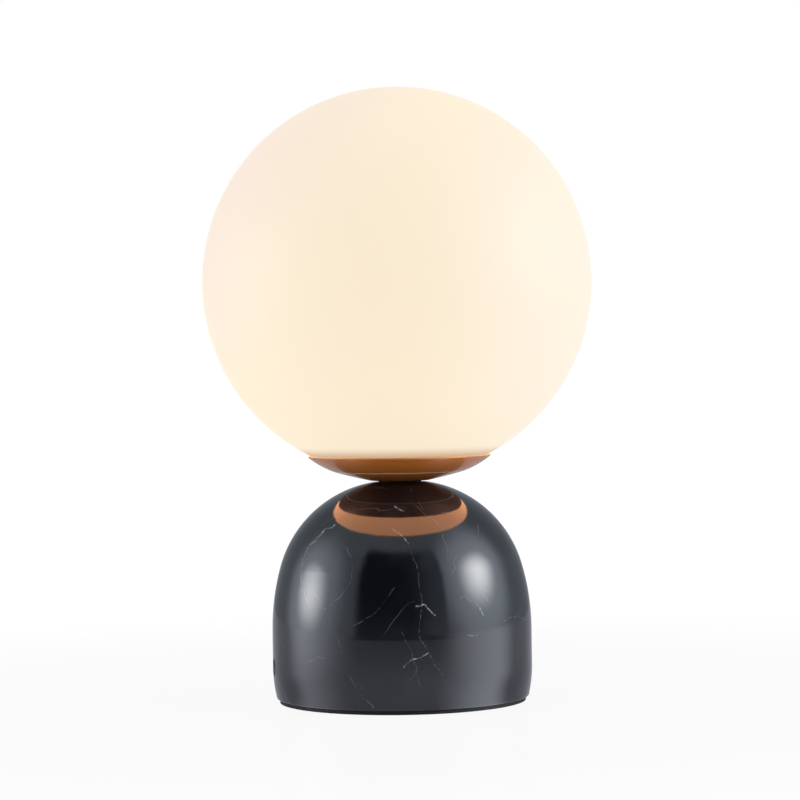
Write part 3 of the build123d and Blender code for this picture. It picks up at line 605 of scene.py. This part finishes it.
def phosphor():
    """Yellow phosphor over each light-emitting chip, in a white frame."""
    made, tree = material("led_phosphor")
    grains = tree.clouds(tree.place(), 0.25, 3.0, 0.7)
    tree.shade(Base_Color=tree.mix(grains, PHOSPHOR, PHOSPHOR_PALE),
               Roughness=0.45 + grains * 0.2, Normal=tree.bump(grains * 0.02))
    return made


# ---- Meshes

def dress(finish, *nodes):
    """Gives CAD nodes their finish."""
    for node in nodes:
        data = frame["nodes"][node].data
        data.materials.clear()
        data.materials.append(finish)


def copy_of(node, name):
    """A piece with the node's mesh, its seams joined, that replaces the node."""
    source = frame["nodes"][node]
    data = source.data.copy()
    data.name = name
    piece = bpy.data.objects.new(name, data)
    bpy.context.scene.collection.objects.link(piece)
    form = bmesh.new()
    form.from_mesh(data)
    bmesh.ops.remove_doubles(form, verts=form.verts, dist=0.002 * MM)
    return piece, form


def settle(piece, form, node, finish, sharp=radians(35), flat_ends=False):
    """Writes the mesh back and puts the piece in the node's place."""
    bmesh.ops.recalc_face_normals(form, faces=form.faces)
    form.to_mesh(piece.data)
    form.free()
    for name in ("custom_normal", "sharp_edge", "sharp_face"):
        found = piece.data.attributes.get(name)
        if found:
            piece.data.attributes.remove(found)
    piece.data.shade_smooth()
    piece.data.set_sharp_from_angle(angle=sharp)
    if flat_ends:
        for face in piece.data.polygons:
            face.use_smooth = abs(face.normal.z) < 0.95
    piece.data.materials.clear()
    piece.data.materials.append(finish)
    source = frame["nodes"][node]
    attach(piece, source["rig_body"])
    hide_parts(node)


def off_axis(vert):
    """Distance of a vertex from the Z axis."""
    return Vector((vert.co.x, vert.co.y)).length


def slice_between(form, low, high, step):
    """Cuts level rings into the faces between two heights."""
    count = round((high - low) / step)
    for index in range(count + 1):
        level = low + (high - low) * index / count
        edges = [edge for edge in form.edges
                 if min(v.co.z for v in edge.verts) < level < max(v.co.z for v in edge.verts)]
        faces = list({face for edge in edges for face in edge.link_faces})
        verts = list({vert for face in faces for vert in face.verts})
        sides = list({edge for face in faces for edge in face.edges})
        bmesh.ops.bisect_plane(form, geom=verts + sides + faces, plane_co=(0, 0, level),
                               plane_no=(0, 0, 1), dist=0.001 * MM)


def roll_thread(form, low, high, pitch, depth, inner, outer, outward=False):
    """Moves the walls between two radii in and out along a helix of round waves."""
    rows_per_turn = 10
    fade = pitch * 0.7
    slice_between(form, low, high, pitch / rows_per_turn)
    for vert in form.verts:
        radius = off_axis(vert)
        if not (low <= vert.co.z <= high and inner <= radius <= outer):
            continue
        turn = atan2(vert.co.y, vert.co.x) / tau
        wave = (1 - cos(tau * ((vert.co.z - low) / pitch - turn))) / 2
        ends = min(1.0, (vert.co.z - low) / fade, (high - vert.co.z) / fade)
        shift = depth * wave * ends * (1 if outward else -1)
        vert.co.x *= (radius + shift) / radius
        vert.co.y *= (radius + shift) / radius


def rough_edge(form, depth, grain):
    """Roughens an outer wall that was cut with a knife, never beyond its radius."""
    outer = max(off_axis(vert) for vert in form.verts)
    near = 0.01 * MM
    rim = [vert for vert in form.verts if off_axis(vert) > outer - near]
    low = min(vert.co.z for vert in rim)
    high = max(vert.co.z for vert in rim)
    margin = 0.15 * (high - low)
    slice_between(form, low + margin, high - margin, (high - low) / 4)
    rim_edges = [edge for edge in form.edges
                 if all(off_axis(vert) > outer - near for vert in edge.verts)
                 and abs(edge.verts[0].co.z - edge.verts[1].co.z) < near]
    bmesh.ops.subdivide_edges(form, edges=rim_edges, cuts=5, use_grid_fill=True)
    for vert in form.verts:
        radius = off_axis(vert)
        if radius < outer * 0.995:
            continue
        wave = noise.noise(Vector(vert.co) / grain) * 0.5 + 0.5
        fine = noise.noise(Vector(vert.co) / (grain * 0.35)) * 0.5 + 0.5
        pulled = outer - depth * (0.65 * wave + 0.35 * fine)
        vert.co.x *= pulled / radius
        vert.co.y *= pulled / radius


# ---- Stage

# Softboxes: bearing and height in degrees, then width and height in metres.
LEFT_SOFTBOX = (-89, 10, 1.0, 0.80)
RIGHT_SOFTBOX = (77, 20, 1.12, 0.80)
TOP_SOFTBOX = (0, 88, 1.2, 1.2)
SOFTBOX_AIM = Vector((0, 0, 0.06))  # point on the lamp's axis that they face

REFLECTED_TABLE = (0.86, 0.895, 1.02)  # tint of the table in reflections
WHITE = (1.0, 1.0, 1.0)


def facing(bearing, height):
    """Direction from the lamp: bearing in degrees from the camera's side, and height."""
    return (sin(radians(bearing)) * cos(radians(height)),
            -cos(radians(bearing)) * cos(radians(height)), sin(radians(height)))


def bearing_of(x, y):
    """Degrees round the lamp from the camera's side, positive to the right."""
    return x.angle(0.0 - y) * DEGREES


def softbox(name, box, radiance, distance):
    """Soft rectangular lamp that faces the globe lamp and fades towards its edges."""
    bearing, height, width, tall = box
    light = bpy.data.lights.new(name, "AREA")
    light.shape = "RECTANGLE"
    light.size = width
    light.size_y = tall
    light.energy = pi * width * tall
    tree = Tree(light)
    across, up, _ = tree.axes(tree.node("ShaderNodeNewGeometry", output="Parametric"))
    off_middle = tree.vector("LENGTH", tree.joined(across - 0.5, up - 0.5), output="Value")
    fade = off_middle.ramp(0.5, 0.0)
    glow = tree.node("ShaderNodeEmission", inputs={"Strength": fade * radiance})
    tree.node("ShaderNodeOutputLight", inputs={"Surface": glow})
    lamp = bpy.data.objects.new(name, light)
    bpy.context.scene.collection.objects.link(lamp)
    way = Vector(facing(bearing, height))
    lamp.location = SOFTBOX_AIM + way * distance
    lamp.rotation_mode = "QUATERNION"
    lamp.rotation_quaternion = way.to_track_quat("Z", "Y")


def floor_glow(tree, place, radius):
    """Brightness of the table in reflections, which changes with the bearing round the lamp.

    The bearings crowd together near the stone, which mirrors a little of the floor there.
    """
    x, y, _ = tree.axes(place)
    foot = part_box("marble_base")[1].x / MM
    crowding = (foot / radius).power(1.6)
    bearing = bearing_of(x, y) * (1 + crowding)
    aside = abs(bearing)
    right_glare = bearing.ramp(25, 78) * bearing.ramp(118, 86) * 2.8
    left_glare = bearing.ramp(-45, -88) * bearing.ramp(-122, -94)
    left_glare = left_glare * (1.2 + radius.ramp(120.0, 500.0) * 1.3)
    behind = aside.ramp(98, 140) * 0.46
    ahead = aside.ramp(54, 36) * radius.ramp(150.0, 700.0) * 0.84
    open_floor = 0.98 + right_glare + left_glare - behind - ahead
    under = radius.ramp(foot, foot - 6)
    return open_floor * (1 - under) + under * 0.5


def table_finish(studio):
    """Pale satin table that is white to the camera, apart from a trace of the lamp's shadow."""
    made, tree = material("pale_table")
    place = tree.place()
    radius, _ = tree.around(place)
    grain = tree.clouds(place, 30.0, 4.0, 0.6)
    edge = studio.table_radius / MM
    tone = tree.mix(grain * 0.15, studio.table_colour, studio.table_grain)
    shaded = tree.node("ShaderNodeBsdfPrincipled", inputs={
        "Base Color": tone, "Roughness": 0.16, "IOR": 1.45})
    white = tree.node("ShaderNodeEmission", inputs={"Color": WHITE, "Strength": 1.0})
    lit = tree.vector("SCALE", REFLECTED_TABLE, Scale=floor_glow(tree, place, radius))
    bright = tree.node("ShaderNodeEmission", inputs={"Color": lit, "Strength": 1.0})
    ray = tree.node("ShaderNodeLightPath")
    mirrored = ray.part("Is Glossy Ray") * 0.92
    plain = tree.node("ShaderNodeMixShader", inputs={0: mirrored, 1: shaded, 2: bright})
    whitened = 0.92 + radius.ramp(edge * 0.25, edge * 0.6) * 0.08
    upper = tree.node("ShaderNodeMixShader", inputs={
        0: ray.part("Is Camera Ray") * whitened, 1: plain, 2: white})
    clear = tree.node("ShaderNodeBsdfTransparent")
    from_below = tree.node("ShaderNodeNewGeometry", output="Backfacing")
    surface = tree.node("ShaderNodeMixShader", inputs={0: from_below, 1: upper, 2: clear})
    tree.node("ShaderNodeOutputMaterial", inputs={"Surface": surface})
    return made


def halo(tree, way, box, reach):
    """Glow on the room's walls round a softbox, which ends at reach degrees from its middle."""
    towards = tree.vector("DOT_PRODUCT", way, facing(*box[:2]), output="Value")
    glow = towards.ramp(cos(radians(reach)), cos(radians(8)))
    return glow * glow


def room_brightness(tree, way):
    """What polished surfaces see: a dark window in front, lit walls and softbox halos."""
    x, y, z = tree.axes(way)
    bearing = bearing_of(x, y)
    height = z.arcsine() * DEGREES
    window = bearing.ramp(-47, -37) * bearing.ramp(43, 38) * height.ramp(55, 43)
    in_window = 0.03 + bearing.ramp(8, 38) * 0.4 + height.ramp(14, -4) * 0.1
    walls = 0.34 + abs(bearing).ramp(150, 95) * 0.5
    walls = walls * (0.65 + height.ramp(90, 45) * 0.35)
    left_halo = halo(tree, way, LEFT_SOFTBOX, 46) * 1.9
    right_halo = halo(tree, way, RIGHT_SOFTBOX, 50) * 2.6
    walls = walls + left_halo + right_halo
    return walls * (1 - window) + in_window * window


def sky(studio):
    """White to the camera, an even fill on matt surfaces, and a room in reflections."""
    world = bpy.data.worlds.new("studio")
    bpy.context.scene.world = world
    tree = Tree(world)
    ray = tree.node("ShaderNodeLightPath")
    way = tree.node("ShaderNodeTexCoord", output="Generated")
    matt = (studio.fill, studio.fill, studio.fill)
    brightness = room_brightness(tree, way) * 1.1
    room = tree.vector("SCALE", tuple(studio.room_tint), Scale=brightness)
    reflected = tree.mix(ray.part("Is Glossy Ray"), matt, room)
    shown = tree.mix(ray.part("Is Camera Ray"), reflected, WHITE)
    surface = tree.node("ShaderNodeBackground", inputs={"Color": shown, "Strength": 1.0})
    tree.node("ShaderNodeOutputWorld", inputs={"Surface": surface})


class LAMP_OT_studio(bpy.types.Operator):
    """Sets the camera, the softboxes, the pale table and the white surroundings"""

    bl_idname = "lamp.studio"
    bl_label = "Studio"
    bl_options = {"REGISTER", "UNDO"}

    def execute(self, context):
        studio = context.scene.lamp_studio
        scene = context.scene
        scene.view_settings.view_transform = "Standard"
        camera = bpy.data.objects.new("camera", bpy.data.cameras.new("camera"))
        scene.collection.objects.link(camera)
        camera.data.lens = studio.camera_lens
        camera.location = (0, -studio.camera_distance, studio.camera_height)
        aim = Vector((studio.aim_side, 0, studio.aim_height)) - camera.location
        camera.rotation_mode = "QUATERNION"
        lean = Quaternion((0, 0, 1), -studio.camera_roll)
        camera.rotation_quaternion = aim.to_track_quat("-Z", "Y") @ lean
        camera.data.clip_start = 0.05
        scene.camera = camera
        distance = studio.lamp_distance
        softbox("softbox_left", LEFT_SOFTBOX, studio.left_radiance, distance)
        softbox("softbox_right", RIGHT_SOFTBOX, studio.right_radiance, distance)
        softbox("softbox_top", TOP_SOFTBOX, studio.top_radiance, distance)
        sky(studio)
        self.table(studio)
        return {"FINISHED"}

    def table(self, studio):
        """Round table top, a little below the lamp so that the two never touch."""
        form = bmesh.new()
        bmesh.ops.create_circle(form, cap_ends=True, segments=96, radius=studio.table_radius)
        data = bpy.data.meshes.new("table")
        form.to_mesh(data)
        form.free()
        data.materials.append(table_finish(studio))
        table = bpy.data.objects.new("table", data)
        table.location.z = -studio.table_gap
        bpy.context.scene.collection.objects.link(table)


class LAMP_OT_globe(bpy.types.Operator):
    """Opal glass globe with its threaded ring and the silicone that holds it"""

    bl_idname = "lamp.globe"
    bl_label = "Globe"
    bl_options = {"REGISTER", "UNDO"}

    def execute(self, context):
        look = context.scene.lamp_finish
        detail = context.scene.lamp_detail
        dress(opal_glass(look), "globe_glass")
        dress(moulded("clear_silicone", SILICONE, 0.3), "globe_ring_seal")
        piece, form = copy_of("globe_ring", "globe_ring_threaded")
        low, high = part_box("globe_ring")
        bore = min(off_axis(vert) for vert in form.verts)
        margin = detail.seat_pitch * 0.25
        roll_thread(form, low.z + margin, high.z - margin, detail.seat_pitch,
                    detail.seat_depth, bore * 0.99, bore * 1.004, outward=True)
        settle(piece, form, "globe_ring", metal("aluminium_turned", *ALUMINIUM, 0.28))
        return {"FINISHED"}


class LAMP_OT_base(bpy.types.Operator):
    """Marble, its foam pad, the cover plate with its screws, and the cord outlet's bushing"""

    bl_idname = "lamp.base"
    bl_label = "Base"
    bl_options = {"REGISTER", "UNDO"}

    def execute(self, context):
        look = context.scene.lamp_finish
        detail = context.scene.lamp_detail
        dress(black_marble(look), "marble_base")
        piece, form = copy_of("base_pad", "base_pad_cut")
        rough_edge(form, detail.pad_cut, detail.pad_grain)
        settle(piece, form, "base_pad", foam(look), sharp=radians(50), flat_ends=True)
        plated = metal("zinc_steel", *ZINC, 0.30)
        dress(plated, "base_cover", "cover_screws")
        dress(moulded("nylon_natural", NYLON, 0.42), "cover_plugs")
        dress(moulded("nylon_black", NYLON_BLACK, 0.38), "cord_bushing")
        return {"FINISHED"}


class LAMP_OT_stack(bpy.types.Operator):
    """Central tube with the nuts and washers that clamp the base and the cup"""

    bl_idname = "lamp.stack"
    bl_label = "Clamped stack"
    bl_options = {"REGISTER", "UNDO"}

    def execute(self, context):
        look = context.scene.lamp_finish
        detail = context.scene.lamp_detail
        dress(threaded_steel(detail.tube_pitch), "threaded_tube")
        plated = metal("zinc_steel_hardware", *ZINC, 0.27, ring_size=0.2)
        dress(plated, "clamp_washer", "base_lock_washer", "base_nut", "collar_lock_washer",
              "collar_nut")
        dress(moulded("black_rubber", RUBBER, 0.62), "cushion_washer")
        dress(foam(look), "neck_washer")
        return {"FINISHED"}


class LAMP_OT_cup(bpy.types.Operator):
    """Spun copper-brown cup, the silicone gasket in it and the threaded collar"""

    bl_idname = "lamp.cup"
    bl_label = "Cup"
    bl_options = {"REGISTER", "UNDO"}

    def execute(self, context):
        look = context.scene.lamp_finish
        detail = context.scene.lamp_detail
        dress(spun_copper(look, detail), "cup")
        dress(moulded("silicone_gasket", SILICONE, 0.32), "cup_gasket")
        piece, form = copy_of("globe_collar", "globe_collar_threaded")
        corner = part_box("globe_collar")[1]
        sheet = 1.2 * MM
        thread_turns = 3.2
        top = corner.z - 0.2 * detail.seat_pitch
        foot = top - thread_turns * detail.seat_pitch
        roll_thread(form, foot, top, detail.seat_pitch, detail.seat_depth,
                    corner.x - sheet * 1.2, corner.x * 1.01)
        settle(piece, form, "globe_collar", metal("zinc_steel_pressed", *ZINC, 0.29))
        return {"FINISHED"}


class LAMP_OT_holder(bpy.types.Operator):
    """Lampholder: cap, fluted sleeve, ceramic insert, screw shell, contact and terminals"""

    bl_idname = "lamp.holder"
    bl_label = "Lampholder"
    bl_options = {"REGISTER", "UNDO"}

    def execute(self, context):
        dress(moulded("holder_black", HOLDER_BLACK, 0.3, coat=0.25), "lampholder_cap",
              "lampholder_sleeve")
        dress(moulded("holder_ceramic", CERAMIC, 0.55, grain=0.25, relief=0.012),
              "lampholder_insert")
        brass = metal("brass_bare", *BRASS, 0.25)
        dress(brass, "lampholder_screw_shell", "lampholder_centre_contact",
              "lampholder_terminals")
        dress(metal("zinc_steel_screws", *ZINC, 0.3, ring_size=0.15),
              "lampholder_terminal_screws")
        return {"FINISHED"}


class LAMP_OT_wiring(bpy.types.Operator):
    """Leads, the bushes they pass through and the terminal block"""

    bl_idname = "lamp.wiring"
    bl_label = "Wiring"
    bl_options = {"REGISTER", "UNDO"}

    def execute(self, context):
        dress(moulded("lead_brown", LEAD_BROWN, 0.38), "lead_live")
        dress(moulded("lead_blue", LEAD_BLUE, 0.38), "lead_neutral")
        dress(moulded("nylon_white", NYLON_WHITE, 0.4), "tube_bushes", "terminal_housing")
        dress(metal("brass_clamps", *BRASS, 0.3), "terminal_clamps")
        dress(metal("zinc_screws_small", *ZINC, 0.3, ring_size=0.15), "terminal_screws",
              "terminal_fixing_screw")
        return {"FINISHED"}


class LAMP_OT_bulb(bpy.types.Operator):
    """Light bulb: lit diffuser, housing, threaded cap, contact and the boards inside"""

    bl_idname = "lamp.bulb"
    bl_label = "Bulb"
    bl_options = {"REGISTER", "UNDO"}

    def execute(self, context):
        detail = context.scene.lamp_detail
        dress(lit_diffuser(), "bulb_diffuser")
        dress(moulded("bulb_white", HOUSING, 0.36), "bulb_housing")
        dress(moulded("cap_insulator", CAP_INSULATOR, 0.12, coat=0.6), "bulb_cap_insulator")
        nickel = metal("nickel_plated", *NICKEL, 0.2)
        dress(nickel, "bulb_centre_contact")
        dress(circuit_board("board_white", *WHITE_BOARD), "bulb_led_board")
        dress(phosphor(), "bulb_leds")
        dress(circuit_board("board_green", *GREEN_BOARD), "bulb_driver_board")
        dress(driver_finish(), "bulb_driver_parts")
        self.cap(detail, nickel)
        return {"FINISHED"}

    def cap(self, detail, nickel):
        """Rolls the thread between the cap's bend at its foot and the plain skirt above."""
        piece, form = copy_of("bulb_screw_cap", "bulb_cap_threaded")
        low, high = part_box("bulb_screw_cap")
        plain_skirt = 10.5 * MM
        bend = 2.6 * MM
        roll_thread(form, low.z + bend, high.z - plain_skirt, detail.cap_pitch,
                    detail.cap_depth, high.x * 0.94, high.x * 1.01)
        settle(piece, form, "bulb_screw_cap", nickel)


STEPS = (LAMP_OT_studio, LAMP_OT_globe, LAMP_OT_base, LAMP_OT_stack, LAMP_OT_cup,
         LAMP_OT_holder, LAMP_OT_wiring, LAMP_OT_bulb)


class LAMP_PT_panel(bpy.types.Panel):
    """Lists the lamp's values and steps in the 3D view's sidebar"""

    bl_idname = "LAMP_PT_panel"
    bl_label = "Globe Lamp"
    bl_space_type = "VIEW_3D"
    bl_region_type = "UI"
    bl_category = "Globe Lamp"

    def draw(self, context):
        for group in (context.scene.lamp_studio, context.scene.lamp_finish,
                      context.scene.lamp_detail):
            column = self.layout.column(align=True)
            for name in group.__annotations__:
                column.prop(group, name)
        for step in STEPS:
            self.layout.operator(step.bl_idname)


CLASSES = (LampStudio, LampFinish, LampDetail, *STEPS, LAMP_PT_panel)


def register():
    for made in CLASSES:
        bpy.utils.register_class(made)
    bpy.types.Scene.lamp_studio = PointerProperty(type=LampStudio)
    bpy.types.Scene.lamp_finish = PointerProperty(type=LampFinish)
    bpy.types.Scene.lamp_detail = PointerProperty(type=LampDetail)


def unregister():
    del bpy.types.Scene.lamp_studio
    del bpy.types.Scene.lamp_finish
    del bpy.types.Scene.lamp_detail
    for made in reversed(CLASSES):
        bpy.utils.unregister_class(made)


def main():
    register()
    for step in STEPS:
        group, name = step.bl_idname.split(".")
        getattr(getattr(bpy.ops, group), name)()


if __name__ == "__main__":
    main()
